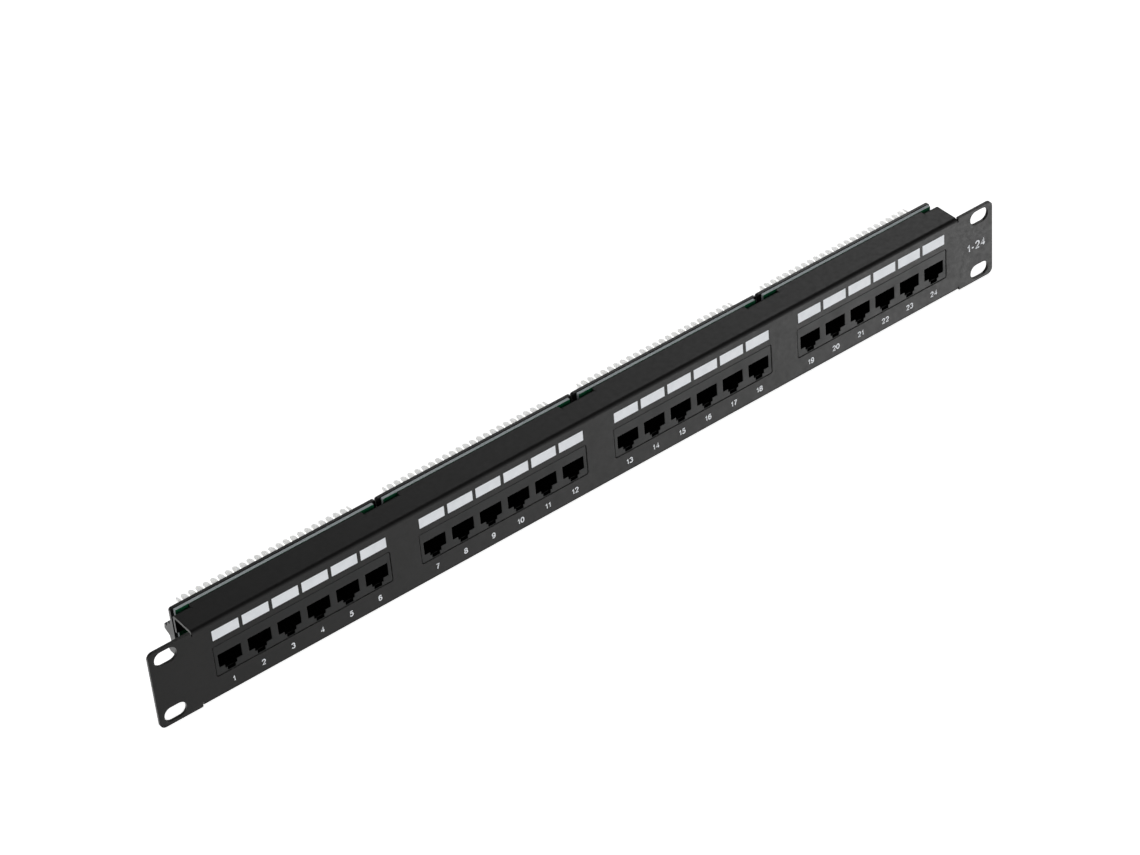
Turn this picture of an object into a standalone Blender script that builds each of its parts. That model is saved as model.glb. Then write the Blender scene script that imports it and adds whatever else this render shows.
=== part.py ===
"""Rack patch panel with 24 sockets: a folded sheet front and four six-socket modules.

Right is +X, the rear is +Y and up is +Z, in metres. The origin is the centre of the
mounting plane, which is the rear face of the sheet and of its two ears.
"""
import bpy
import bmesh
from math import cos, pi, radians, sin
from mathutils import Matrix, Vector

MM = 0.001

# Sheet front
SHEET = 1.6 * MM
HALF_WIDTH = 241.0 * MM
HALF_HEIGHT = 21.35 * MM
EAR_CORNER = 3.0 * MM
FLANGE_HALF = 218.5 * MM
BEND_OUTER = 2.0 * MM
FLANGE_REAR = 14.8 * MM
TAB_REAR = 13.8 * MM
TAB_TIP_Z = 11.6 * MM
TAB_HALF = 9.5 * MM
END_TAB_X = 209.9 * MM
RIP = 0.4 * MM
RELIEF = 0.6 * MM
SLOT_X = 232.56 * MM
SLOT_Z = 15.875 * MM
SLOT_WIDTH = 11.3 * MM
SLOT_HEIGHT = 7.6 * MM
SLOT_CORNER = 3.6 * MM

BARE_HALF = 5.0 * MM

# Modules
MODULE_PITCH = 109.3 * MM
MODULE_X = [(k - 1.5) * MODULE_PITCH for k in range(4)]
HOUSING_SHIFT = 0.4 * MM
HOUSING_X = [x + HOUSING_SHIFT for x in MODULE_X]
PORT_PITCH = 15.53 * MM
PORT_X = [(k - 2.5) * PORT_PITCH for k in range(6)]
FACE_HALF = 46.5 * MM
FACE_LOW = -9.35 * MM
FACE_HIGH = 7.05 * MM
CLEAR = 0.3 * MM

# Jack housing
FACE_Y = -1.4 * MM
BODY_HALF = 46.5 * MM
BODY_LOW = -10.8 * MM
BODY_HIGH = 9.2 * MM
BODY_REAR = 14.8 * MM
MOUTH_HALF = 5.95 * MM
MOUTH_HIGH = 1.8 * MM
MOUTH_LOW = -5.2 * MM
STEP_HALF = 3.05 * MM
STEP_LOW = -7.05 * MM
LATCH_HALF = 2.05 * MM
LATCH_LOW = -8.9 * MM
LATCH_DEPTH = 12.6 * MM
POCKET_FRONT = 11.9 * MM
POCKET_EXTRA = 0.1 * MM

# Spring contacts
CARRIER_FRONT = 12.2 * MM
CARRIER_REAR = 14.8 * MM
WIRE_PITCH = 1.27 * MM
WIRE = 0.4 * MM
WIRE_TIP_Y = 4.0 * MM
WIRE_TIP_Z = 1.35 * MM
WIRE_ROOT_Z = -0.45 * MM

# Circuit board
BOARD_FRONT = 15.1 * MM
BOARD_THICK = 1.6 * MM
BOARD_HALF = 52.2 * MM
BOARD_HALF_Z = 21.35 * MM
BOARD_REAR = BOARD_FRONT + BOARD_THICK

# Wire-termination strips
STRIP_FRONT = BOARD_REAR + CLEAR
STRIP_LOW = 8.7 * MM
STRIP_HIGH = 17.1 * MM
SLIT_PITCH = 3.81 * MM
SLIT_COUNT = 24
SLIT = 0.7 * MM
SLIT_FLOOR = 19.6 * MM
TOOTH_SHOULDER = 24.4 * MM
TOOTH_TIP = 26.8 * MM
END_TOOTH = 1.5 * MM

# Rear cover
COVER_FRONT = 17.1 * MM
COVER_REAR = 18.9 * MM
COVER_HALF = 54.5 * MM
COVER_OUTER = 53.5 * MM
RIDGE_CLEAR_Z = 19.0 * MM
COVER_HALF_Z = 21.35 * MM
WINDOW_HALF = 46.0 * MM
WINDOW_NEAR = 8.4 * MM
WINDOW_FAR = 17.4 * MM
CAVITY_REAR = 20.4 * MM
CAVITY_LOW = -5.6 * MM
CAVITY_HIGH = 6.4 * MM
COVER_CORNER = 1.2 * MM
RIDGE_HALF = 53.45 * MM

# Cover screws
SCREW_X = 49.2 * MM
SCREW_Z = 17.2 * MM
SCREW_HOLE = 1.5 * MM
SCREW_SHANK = 1.15 * MM
SCREW_HEAD = 2.3 * MM
SCREW_HEAD_HIGH = 1.5 * MM
SCREW_TIP = 11.2 * MM

# Folded-sheet lengths
MID_RADIUS = BEND_OUTER - SHEET / 2
BEND_START = HALF_HEIGHT - BEND_OUTER
BEND_LENGTH = MID_RADIUS * pi / 2
FLANGE_START_Y = BEND_OUTER - SHEET
FLANGE_START = BEND_START + BEND_LENGTH
TAB_BEND_START = FLANGE_START + TAB_REAR - BEND_OUTER - FLANGE_START_Y
TAB_START = TAB_BEND_START + BEND_LENGTH
FLANGE_END = FLANGE_START + FLANGE_REAR - FLANGE_START_Y
TAB_END = TAB_START + BEND_START - TAB_TIP_Z
BEND_STEPS = 5
# The rear face is parted at these x, so that the ears and the bare middle are faces of their own.
EAR_LINE = FLANGE_HALF + RELIEF
FACE_LINES = (-EAR_LINE, -BARE_HALF, BARE_HALF, EAR_LINE)

for leftover in list(bpy.data.objects):
    bpy.data.objects.remove(leftover)


def new_collection(name):
    collection = bpy.data.collections.new(name)
    bpy.context.scene.collection.children.link(collection)
    return collection


PARTS = new_collection("patch_panel")
CUTTERS = new_collection("cutters")


def material(name, colour, roughness, metallic=0.0):
    made = bpy.data.materials.new(name)
    made.use_nodes = True
    shader = made.node_tree.nodes["Principled BSDF"]
    shader.inputs["Base Color"].default_value = (*colour, 1.0)
    shader.inputs["Roughness"].default_value = roughness
    shader.inputs["Metallic"].default_value = metallic
    return made


POWDER_COAT = material("powder_coat", (0.03, 0.03, 0.032), 0.5)
BLACK_PLASTIC = material("black_plastic", (0.012, 0.012, 0.013), 0.45)
GREEN_BOARD = material("green_board", (0.01, 0.11, 0.05), 0.4)
IVORY_PLASTIC = material("ivory_plastic", (0.8, 0.8, 0.77), 0.4)
CONTACT_CARRIER = material("contact_carrier", (0.02, 0.02, 0.02), 0.45)
ZINC = material("zinc_plate", (0.6, 0.6, 0.58), 0.35, 1.0)


def add_object(name, mesh, look=None, collection=PARTS):
    made = bpy.data.objects.new(name, mesh)
    collection.objects.link(made)
    if look:
        made.data.materials.clear()
        made.data.materials.append(look)
    return made


def arc(cx, cy, radius, start, end, steps):
    """Points on an arc, angles in degrees."""
    turn = [radians(start + (end - start) * k / steps) for k in range(steps + 1)]
    return [(cx + radius * cos(a), cy + radius * sin(a)) for a in turn]


def rounded_rectangle(x0, x1, z0, z1, radius, steps=4):
    outline = arc(x1 - radius, z1 - radius, radius, 0, 90, steps)
    outline += arc(x0 + radius, z1 - radius, radius, 90, 180, steps)
    outline += arc(x0 + radius, z0 + radius, radius, 180, 270, steps)
    outline += arc(x1 - radius, z0 + radius, radius, 270, 360, steps)
    return outline


def rectangle(x0, x1, z0, z1):
    return [(x0, z0), (x1, z0), (x1, z1), (x0, z1)]


def filled_outline(name, loops, thickness, look=None, collection=PARTS):
    """Extrude closed outlines, the first one outside and the rest holes."""
    curve = bpy.data.curves.new(name + "_outline", "CURVE")
    curve.dimensions = "2D"
    curve.fill_mode = "BOTH"
    curve.extrude = thickness / 2
    for loop in loops:
        spline = curve.splines.new("POLY")
        spline.points.add(len(loop) - 1)
        for point, (u, v) in zip(spline.points, loop):
            point.co = (u, v, 0.0, 1.0)
        spline.use_cyclic_u = True
    carrier = bpy.data.objects.new(name + "_curve", curve)
    bpy.context.scene.collection.objects.link(carrier)
    depsgraph = bpy.context.evaluated_depsgraph_get()
    mesh = bpy.data.meshes.new_from_object(carrier.evaluated_get(depsgraph))
    bpy.data.objects.remove(carrier)
    weld(mesh)
    return add_object(name, mesh, look, collection)


def weld(mesh):
    work = bmesh.new()
    work.from_mesh(mesh)
    bmesh.ops.remove_doubles(work, verts=work.verts, dist=1e-6)
    bmesh.ops.recalc_face_normals(work, faces=work.faces)
    work.to_mesh(mesh)
    work.free()


# An outline drawn in (x, z) stands up facing the front after this turn.
STAND_UP = Matrix.Rotation(radians(90), 4, "X")
# An outline drawn in (y, z) becomes a section that runs along X after this turn.
SECTION = Matrix(((0, 0, 1, 0), (1, 0, 0, 0), (0, 1, 0, 0), (0, 0, 0, 1)))


def upright(name, loops, front, rear, look=None, collection=PARTS):
    """A flat part parallel to the front, from y = front to y = rear."""
    made = filled_outline(name, loops, rear - front, look, collection)
    made.data.transform(Matrix.Translation((0, (front + rear) / 2, 0)) @ STAND_UP)
    return made


def section(name, outline, x0, x1, look=None, collection=PARTS):
    """A constant (y, z) profile running from x0 to x1."""
    made = filled_outline(name, [outline], x1 - x0, look, collection)
    made.data.transform(Matrix.Translation(((x0 + x1) / 2, 0, 0)) @ SECTION)
    return made


def box(name, low, high, look=None, collection=PARTS):
    mesh = bpy.data.meshes.new(name)
    work = bmesh.new()
    bmesh.ops.create_cube(work, size=1.0)
    size = [b - a for a, b in zip(low, high)]
    centre = [(a + b) / 2 for a, b in zip(low, high)]
    bmesh.ops.scale(work, vec=size, verts=work.verts)
    bmesh.ops.translate(work, vec=centre, verts=work.verts)
    work.to_mesh(mesh)
    work.free()
    return add_object(name, mesh, look, collection)


def apply_modifiers(target):
    depsgraph = bpy.context.evaluated_depsgraph_get()
    mesh = bpy.data.meshes.new_from_object(target.evaluated_get(depsgraph))
    target.modifiers.clear()
    target.data = mesh


def combine(target, other, operation):
    """Boolean one solid with another; the tool solid goes to the cutters."""
    for collection in list(other.users_collection):
        collection.objects.unlink(other)
    CUTTERS.objects.link(other)
    other.hide_render = True
    other.display_type = "WIRE"
    step = target.modifiers.new(operation.lower(), "BOOLEAN")
    step.operation = operation
    step.solver = "EXACT"
    step.object = other
    apply_modifiers(target)


def merge_flat_faces(target, kept_lines=()):
    """Merge coplanar faces, except across the upright lines at the kept x."""
    work = bmesh.new()
    work.from_mesh(target.data)
    bmesh.ops.remove_doubles(work, verts=work.verts, dist=1e-7)
    edges = [
        edge for edge in work.edges
        if not any(all(abs(v.co.x - x) < 1e-6 for v in edge.verts) for x in kept_lines)
    ]
    bmesh.ops.dissolve_limit(
        work, angle_limit=radians(0.05), verts=work.verts, edges=edges
    )
    work.to_mesh(target.data)
    work.free()


def fold_point(point):
    """Move a point of the flat blank to its place on the folded sheet."""
    side = 1.0 if point.z >= 0 else -1.0
    run = abs(point.z)
    depth = point.y + SHEET / 2
    if run <= FLANGE_START:
        turn = (run - BEND_START) / MID_RADIUS
        radius = MID_RADIUS - depth
        y = MID_RADIUS - SHEET / 2 - radius * cos(turn)
        return Vector((point.x, y, side * (BEND_START + radius * sin(turn))))
    y = FLANGE_START_Y + run - FLANGE_START
    return Vector((point.x, y, side * (HALF_HEIGHT - SHEET / 2 - depth)))


def fold_tab_point(point):
    """Place a blank point that belongs to a mounting tab beyond its own bend."""
    side = 1.0 if point.z >= 0 else -1.0
    run = abs(point.z)
    depth = point.y + SHEET / 2
    radius = MID_RADIUS - depth
    if run <= TAB_START:
        turn = (run - TAB_BEND_START) / MID_RADIUS
        y = TAB_REAR - BEND_OUTER + radius * sin(turn)
        return Vector((point.x, y, side * (BEND_START + radius * cos(turn))))
    y = TAB_REAR - SHEET / 2 - depth
    return Vector((point.x, y, side * (BEND_START - (run - TAB_START))))


TAB_SPANS = [(-FLANGE_HALF, -END_TAB_X), (END_TAB_X, FLANGE_HALF)]
TAB_SPANS += [(k * MODULE_PITCH - TAB_HALF, k * MODULE_PITCH + TAB_HALF) for k in (-1, 0, 1)]
TAB_SPANS.sort()


def on_tab(x):
    return any(a - RIP / 4 <= x <= b + RIP / 4 for a, b in TAB_SPANS)


def blank_edge():
    """Upper edge of the flat blank from left to right, ears included."""
    ear_x = EAR_LINE
    corner = HALF_WIDTH - EAR_CORNER
    edge = arc(-corner, HALF_HEIGHT - EAR_CORNER, EAR_CORNER, 180, 90, 5)
    edge += [(-ear_x, HALF_HEIGHT), (-ear_x, BEND_START - RELIEF / 2)]
    edge += [(-FLANGE_HALF, BEND_START - RELIEF / 2)]
    notch = TAB_BEND_START - RIP
    nose = 1.0 * MM
    for k, (a, b) in enumerate(TAB_SPANS):
        if k:
            edge += arc(a - RIP - nose, FLANGE_END - nose, nose, 90, 0, 3)
            edge += [(a - RIP, notch), (a, notch)]
        edge += [(a, TAB_END), (b, TAB_END)]
        if k < len(TAB_SPANS) - 1:
            edge += [(b, notch), (b + RIP, notch)]
            edge += arc(b + RIP + nose, FLANGE_END - nose, nose, 180, 90, 3)
    edge += [(FLANGE_HALF, BEND_START - RELIEF / 2)]
    edge += [(ear_x, BEND_START - RELIEF / 2), (ear_x, HALF_HEIGHT)]
    edge += arc(corner, HALF_HEIGHT - EAR_CORNER, EAR_CORNER, 90, 0, 5)
    return edge


def circle(cx, cz, radius, steps=12):
    return arc(cx, cz, radius, 0, 360 * (steps - 1) / steps, steps - 1)


def screw_places():
    """(x, z) of the two screws of each module, on opposite corners."""
    places = []
    for centre in MODULE_X:
        places += [(centre - SCREW_X, SCREW_Z), (centre + SCREW_X, -SCREW_Z)]
    return places


def make_front_panel():
    upper = blank_edge()
    lower = [(x, -z) for x, z in reversed(upper)]
    loops = [upper + lower]
    for sx in (-1, 1):
        for sz in (-1, 1):
            x, z = sx * SLOT_X, sz * SLOT_Z
            w, h = SLOT_WIDTH / 2, SLOT_HEIGHT / 2
            loops.append(rounded_rectangle(x - w, x + w, z - h, z + h, SLOT_CORNER, 5))
    for centre in HOUSING_X:
        half = FACE_HALF + CLEAR
        low, high = FACE_LOW - CLEAR, FACE_HIGH + CLEAR
        loops.append(rounded_rectangle(centre - half, centre + half, low, high, 1.0 * MM, 3))
    for x, z in screw_places():
        run = TAB_START + BEND_START - abs(z)
        loops.append(circle(x, run if z > 0 else -run, SCREW_HOLE))
    panel = upright("front_panel", loops, -SHEET, 0.0, POWDER_COAT)
    fold_sheet(panel.data)
    merge_flat_faces(panel, FACE_LINES)
    return panel


def fold_sheet(mesh):
    work = bmesh.new()
    work.from_mesh(mesh)
    runs = [BEND_START + BEND_LENGTH * k / BEND_STEPS for k in range(BEND_STEPS + 1)]
    runs += [TAB_BEND_START + BEND_LENGTH * k / BEND_STEPS for k in range(BEND_STEPS + 1)]
    for run in runs:
        for side in (-1, 1):
            everything = work.verts[:] + work.edges[:] + work.faces[:]
            bmesh.ops.bisect_plane(
                work, geom=everything, dist=1e-7,
                plane_co=(0, 0, side * run), plane_no=(0, 0, 1),
            )
    for x in FACE_LINES:
        everything = work.verts[:] + work.edges[:] + work.faces[:]
        bmesh.ops.bisect_plane(
            work, geom=everything, dist=1e-7, plane_co=(x, 0, 0), plane_no=(1, 0, 0)
        )
    for vert in work.verts:
        run = abs(vert.co.z)
        if run > TAB_BEND_START and on_tab(vert.co.x):
            vert.co = fold_tab_point(vert.co)
        elif run > BEND_START and abs(vert.co.x) < FLANGE_HALF + RELIEF / 2:
            vert.co = fold_point(vert.co)
    bmesh.ops.recalc_face_normals(work, faces=work.faces)
    work.to_mesh(mesh)
    work.free()


def socket_cutters(port):
    """Plug mouth, the two steps of its latch notch and the pocket for the contacts."""
    start = FACE_Y - MM
    overlap = 1.0 * MM
    spans = [
        (MOUTH_HALF, MOUTH_LOW, MOUTH_HIGH, start, LATCH_DEPTH),
        (STEP_HALF, STEP_LOW, MOUTH_LOW + overlap, start, LATCH_DEPTH - 0.2 * MM),
        (LATCH_HALF, LATCH_LOW, STEP_LOW + overlap, start, LATCH_DEPTH - 0.4 * MM),
        (
            MOUTH_HALF + POCKET_EXTRA, MOUTH_LOW - POCKET_EXTRA, MOUTH_HIGH + POCKET_EXTRA,
            POCKET_FRONT, BODY_REAR + MM,
        ),
    ]
    for half, low, high, front, rear in spans:
        yield box("socket_cutter", (port - half, front, low), (port + half, rear, high))


def make_jack_housing():
    housing = box(
        "jack_housing_1",
        (-BODY_HALF, CLEAR, BODY_LOW),
        (BODY_HALF, BODY_REAR, BODY_HIGH),
        BLACK_PLASTIC,
    )
    face = box(
        "housing_face",
        (-FACE_HALF, FACE_Y, FACE_LOW),
        (FACE_HALF, CLEAR + 1.0 * MM, FACE_HIGH),
    )
    combine(housing, face, "UNION")
    for x in PORT_X:
        for cutter in socket_cutters(x):
            combine(housing, cutter, "DIFFERENCE")
    merge_flat_faces(housing)
    return housing


def make_contacts():
    low = (-MOUTH_HALF + CLEAR, CARRIER_FRONT, MOUTH_LOW + CLEAR)
    high = (MOUTH_HALF - CLEAR, CARRIER_REAR, MOUTH_HIGH - CLEAR)
    carrier = box("jack_contacts_01", low, high, CONTACT_CARRIER)
    slope = [
        (CARRIER_FRONT + 0.5 * MM, WIRE_ROOT_Z), (CARRIER_FRONT + 0.5 * MM, WIRE_ROOT_Z - WIRE),
        (WIRE_TIP_Y, WIRE_TIP_Z - WIRE), (WIRE_TIP_Y, WIRE_TIP_Z),
    ]
    for k in range(8):
        x = (k - 3.5) * WIRE_PITCH
        wire = section("spring_wire", slope, x - WIRE / 2, x + WIRE / 2)
        combine(carrier, wire, "UNION")
    merge_flat_faces(carrier)
    return carrier


def make_board():
    loops = [rectangle(-BOARD_HALF, BOARD_HALF, -BOARD_HALF_Z, BOARD_HALF_Z)]
    loops += [circle(-SCREW_X, SCREW_Z, SCREW_HOLE), circle(SCREW_X, -SCREW_Z, SCREW_HOLE)]
    return upright("circuit_board_1", loops, BOARD_FRONT, BOARD_REAR, GREEN_BOARD)


def tooth(left, right, steps=4):
    """Rounded tip of one tooth, drawn from its right side to its left side."""
    middle, half = (left + right) / 2, (right - left) / 2
    turn = [pi * k / steps for k in range(steps + 1)]
    rise = TOOTH_TIP - TOOTH_SHOULDER
    return [(middle + half * cos(a), TOOTH_SHOULDER + rise * sin(a)) for a in turn]


def make_strip(name, low, high):
    slits = [(k - (SLIT_COUNT - 1) / 2) * SLIT_PITCH for k in range(SLIT_COUNT)]
    edges = [slits[0] - SLIT / 2 - END_TOOTH]
    for x in slits:
        edges += [x - SLIT / 2, x + SLIT / 2]
    edges.append(slits[-1] + SLIT / 2 + END_TOOTH)
    outline = [(edges[0], STRIP_FRONT), (edges[-1], STRIP_FRONT)]
    spans = list(zip(edges[0::2], edges[1::2]))
    for k in reversed(range(len(spans))):
        left, right = spans[k]
        if k < len(spans) - 1:
            outline.append((right, SLIT_FLOOR))
        outline += tooth(left, right)
        if k:
            outline.append((left, SLIT_FLOOR))
    strip = filled_outline(name, [outline], high - low, IVORY_PLASTIC)
    strip.data.transform(Matrix.Translation((0, 0, (low + high) / 2)))
    return strip


COVER_SECTION = [
    (COVER_FRONT + 0.6 * MM, 14.3 * MM),
    (18.9 * MM, 14.2 * MM),
    (19.7 * MM, 13.4 * MM),
    (20.1 * MM, 11.0 * MM),
    (21.3 * MM, 11.9 * MM),
    (22.5 * MM, 10.7 * MM),
    (23.1 * MM, 8.0 * MM),
    (24.2 * MM, 9.1 * MM),
    (25.2 * MM, 8.2 * MM),
    (25.8 * MM, 5.1 * MM),
    (22.0 * MM, 3.3 * MM),
    (21.7 * MM, 1.2 * MM),
    (21.7 * MM, -2.4 * MM),
    (25.6 * MM, -3.8 * MM),
    (25.6 * MM, -5.6 * MM),
    (24.2 * MM, -7.2 * MM),
    (COVER_FRONT + 0.6 * MM, -7.2 * MM),
]


def make_cover():
    loops = [rounded_rectangle(
        -COVER_HALF, COVER_HALF, -COVER_HALF_Z, COVER_HALF_Z, COVER_CORNER, 3
    )]
    loops += [circle(-SCREW_X, SCREW_Z, SCREW_HOLE), circle(SCREW_X, -SCREW_Z, SCREW_HOLE)]
    cover = upright("rear_cover_1", loops, COVER_FRONT, COVER_REAR, BLACK_PLASTIC)
    ridge = section("cover_ridge", COVER_SECTION, -RIDGE_HALF, RIDGE_HALF)
    combine(cover, ridge, "UNION")
    for low, high in ((WINDOW_NEAR, WINDOW_FAR), (-WINDOW_FAR, -WINDOW_NEAR)):
        opening = box(
            "strip_window",
            (-WINDOW_HALF, COVER_FRONT - MM, low),
            (WINDOW_HALF, TOOTH_TIP + MM, high),
        )
        combine(cover, opening, "DIFFERENCE")
    cavity = box(
        "ridge_cavity",
        (-WINDOW_HALF + MM, COVER_FRONT - MM, CAVITY_LOW),
        (WINDOW_HALF - MM, CAVITY_REAR, CAVITY_HIGH),
    )
    combine(cover, cavity, "DIFFERENCE")
    merge_flat_faces(cover)
    return cover


def shorten(cover, centre, side):
    """Draw in the plate's two corners on one side, at the outer end of the row."""
    for vert in cover.data.vertices:
        if abs(vert.co.z) > RIDGE_CLEAR_Z and side * (vert.co.x - centre) > WINDOW_HALF + 5.0 * MM:
            vert.co.x -= side * (COVER_HALF - COVER_OUTER)


def make_screw(name, x, z):
    seat = COVER_REAR + CLEAR
    profile = [
        (0.0, SCREW_TIP), (SCREW_SHANK * 0.5, SCREW_TIP + 0.5 * MM),
        (SCREW_SHANK, SCREW_TIP + 1.4 * MM), (SCREW_SHANK, seat), (SCREW_HEAD, seat),
        (SCREW_HEAD, seat + SCREW_HEAD_HIGH * 0.5),
        (SCREW_HEAD * 0.7, seat + SCREW_HEAD_HIGH), (0.0, seat + SCREW_HEAD_HIGH),
    ]
    mesh = bpy.data.meshes.new(name)
    work = bmesh.new()
    points = [work.verts.new((radius, 0.0, height)) for radius, height in profile]
    for a, b in zip(points, points[1:]):
        work.edges.new((a, b))
    work.to_mesh(mesh)
    work.free()
    screw = add_object(name, mesh, ZINC)
    turn = screw.modifiers.new("turned", "SCREW")
    turn.axis = "Z"
    turn.steps = 12
    turn.render_steps = 12
    turn.use_merge_vertices = True
    turn.merge_threshold = 0.00001
    apply_modifiers(screw)
    lay_back = Matrix.Rotation(radians(-90), 4, "X")
    screw.data.transform(Matrix.Translation((x, 0, z)) @ lay_back)
    weld(screw.data)
    return screw


def place_copies(first, names, offsets):
    """The first piece moves to the first offset; copies of it go to the others."""
    pattern = first.data.copy()
    first.data.transform(Matrix.Translation((offsets[0], 0, 0)))
    for name, offset in zip(names[1:], offsets[1:]):
        copy = add_object(name, pattern.copy())
        copy.data.transform(Matrix.Translation((offset, 0, 0)))


def module_names(stem):
    return [f"{stem}_{k + 1}" for k in range(len(MODULE_X))]


make_front_panel()
place_copies(make_jack_housing(), module_names("jack_housing"), HOUSING_X)
SOCKET_X = [housing_x + port_x for housing_x in HOUSING_X for port_x in PORT_X]
CONTACT_NAMES = [f"jack_contacts_{k + 1:02d}" for k in range(len(SOCKET_X))]
place_copies(make_contacts(), CONTACT_NAMES, SOCKET_X)
place_copies(make_board(), module_names("circuit_board"), MODULE_X)
upper_strip = make_strip("idc_strip_upper_1", STRIP_LOW, STRIP_HIGH)
place_copies(upper_strip, module_names("idc_strip_upper"), MODULE_X)
lower_strip = make_strip("idc_strip_lower_1", -STRIP_HIGH, -STRIP_LOW)
place_copies(lower_strip, module_names("idc_strip_lower"), MODULE_X)
place_copies(make_cover(), module_names("rear_cover"), MODULE_X)
shorten(bpy.data.objects["rear_cover_1"], MODULE_X[0], -1)
shorten(bpy.data.objects["rear_cover_4"], MODULE_X[3], 1)
for index, (screw_x, screw_z) in enumerate(screw_places()):
    make_screw(f"cover_screw_{index + 1}", screw_x, screw_z)
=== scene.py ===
"""Looks of a 24-socket rack patch panel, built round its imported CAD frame.

Right is +X, the rear is +Y and up is +Z, in metres, as in the CAD part. The origin is
the centre of the rear face of the front sheet.
"""

from math import cos, pi, radians, sin

import bmesh
import bpy
from mathutils import Euler, Matrix, Vector


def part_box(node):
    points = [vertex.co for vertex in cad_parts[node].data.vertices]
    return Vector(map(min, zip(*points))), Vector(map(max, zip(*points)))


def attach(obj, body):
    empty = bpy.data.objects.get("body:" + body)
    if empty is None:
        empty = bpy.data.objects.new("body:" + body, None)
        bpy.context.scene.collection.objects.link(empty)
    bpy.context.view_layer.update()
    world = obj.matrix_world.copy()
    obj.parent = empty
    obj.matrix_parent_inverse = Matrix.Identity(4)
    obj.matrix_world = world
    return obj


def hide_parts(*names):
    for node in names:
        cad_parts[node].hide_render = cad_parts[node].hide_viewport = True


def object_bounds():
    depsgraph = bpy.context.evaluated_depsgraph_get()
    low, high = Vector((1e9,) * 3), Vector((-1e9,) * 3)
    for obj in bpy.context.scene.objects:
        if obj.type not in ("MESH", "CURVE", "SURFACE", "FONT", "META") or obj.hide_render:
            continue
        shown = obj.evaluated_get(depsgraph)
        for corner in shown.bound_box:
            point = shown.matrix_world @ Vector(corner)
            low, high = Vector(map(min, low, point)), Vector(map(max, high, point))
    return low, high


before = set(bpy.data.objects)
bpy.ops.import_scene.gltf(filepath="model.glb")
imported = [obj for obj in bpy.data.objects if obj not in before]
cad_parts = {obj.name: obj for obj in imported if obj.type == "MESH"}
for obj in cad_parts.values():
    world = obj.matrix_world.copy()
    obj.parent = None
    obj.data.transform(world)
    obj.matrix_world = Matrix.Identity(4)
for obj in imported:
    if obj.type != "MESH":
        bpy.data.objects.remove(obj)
cad_low, cad_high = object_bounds()

MM = 0.001
SCENE = bpy.context.scene

# ---------------------------------------------------------------- sizes of the CAD part
sheet_low, sheet_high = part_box("front_panel")
SHEET = 1.6 * MM
FRONT_Y = sheet_low.y
HALF_WIDTH = sheet_high.x
HALF_HEIGHT = sheet_high.z
FLANGE_REAR = sheet_high.y
EAR_CORNER = 3.0 * MM
FLANGE_HALF = 218.5 * MM
BEND_OUTER = 2.0 * MM
TAB_REAR = 13.8 * MM
TAB_TIP_Z = 11.6 * MM
TAB_HALF = 9.5 * MM
END_TAB_X = 209.9 * MM
RIP = 0.16 * MM
RELIEF = 0.6 * MM
SLOT_X = 232.56 * MM
SLOT_Z = 15.875 * MM
SLOT_HALF = (5.65 * MM, 3.8 * MM)
SLOT_CORNER = 3.6 * MM
NOTCH_ROUND = 0.5 * MM
FLANGE_ROUND = 1.0 * MM
WINDOW_ROUND = 1.0 * MM
SHEET_ROUND = 0.16 * MM


def centre_x(node):
    low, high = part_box(node)
    return (low.x + high.x) / 2


MODULE_X = [centre_x(f"circuit_board_{k}") for k in range(1, 5)]
MODULE_PITCH = MODULE_X[1] - MODULE_X[0]
PORT_PITCH = 15.53 * MM
PORT_X = [(k - 2.5) * PORT_PITCH for k in range(6)]
FACE_HALF = 46.5 * MM
FACE_LOW = -9.35 * MM
FACE_HIGH = 7.05 * MM
CLEAR = 0.3 * MM
FINE_ROUND = 0.05 * MM
SMALL_ROUND = 0.06 * MM
EDGE_ROUND = 0.12 * MM
HOUSING_X = [centre_x(f"jack_housing_{k}") for k in range(1, 5)]
HOUSING = [tuple(corner - Vector((HOUSING_X[0], 0, 0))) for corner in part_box("jack_housing_1")]
MOUTH_HALF = 5.95 * MM
MOUTH_HIGH = 1.8 * MM
MOUTH_LOW = -5.2 * MM
STEP_HALF = 3.05 * MM
STEP_LOW = -7.05 * MM
LATCH_HALF = 2.05 * MM
LATCH_LOW = -8.9 * MM
MOUTH_ROUND = 0.22 * MM
FACE_SKIN = 1.2 * MM
TUNNEL_EXTRA = 0.03 * MM
RAIL_X = 4.6 * MM

CARRIER_FRONT = 12.2 * MM
CARRIER_REAR = 14.8 * MM
WIRE_PITCH = 1.27 * MM
WIRE_RADIUS = 0.19 * MM
WIRE_COUNT = 8
FIN_HALF = 0.2 * MM
FIN_FRONT = 9.4 * MM

board_low, board_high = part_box("circuit_board_1")
BOARD_FRONT, BOARD_REAR = board_low.y, board_high.y
BOARD_HALF = 52.2 * MM
BOARD_HALF_Z = board_high.z
PAD_RADIUS = 0.85 * MM
PAD_HOLE = 0.4 * MM
END_PAD_X = 50.4 * MM
END_PAD_Z = (6.0 * MM, 9.0 * MM)
strip_low, strip_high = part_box("idc_strip_upper_1")
STRIP_FRONT, STRIP_REAR = strip_low.y, strip_high.y
STRIP_LOW, STRIP_HIGH = strip_low.z, strip_high.z
SLIT_PITCH = 3.81 * MM
SLIT_COUNT = 24
SLIT = 0.7 * MM
SLIT_FLOOR = 19.6 * MM
TOOTH_SHOULDER = 24.4 * MM
END_TOOTH = 1.5 * MM
BLADE_HALF = 0.17 * MM
BLADE_INSET = 1.2 * MM

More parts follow.
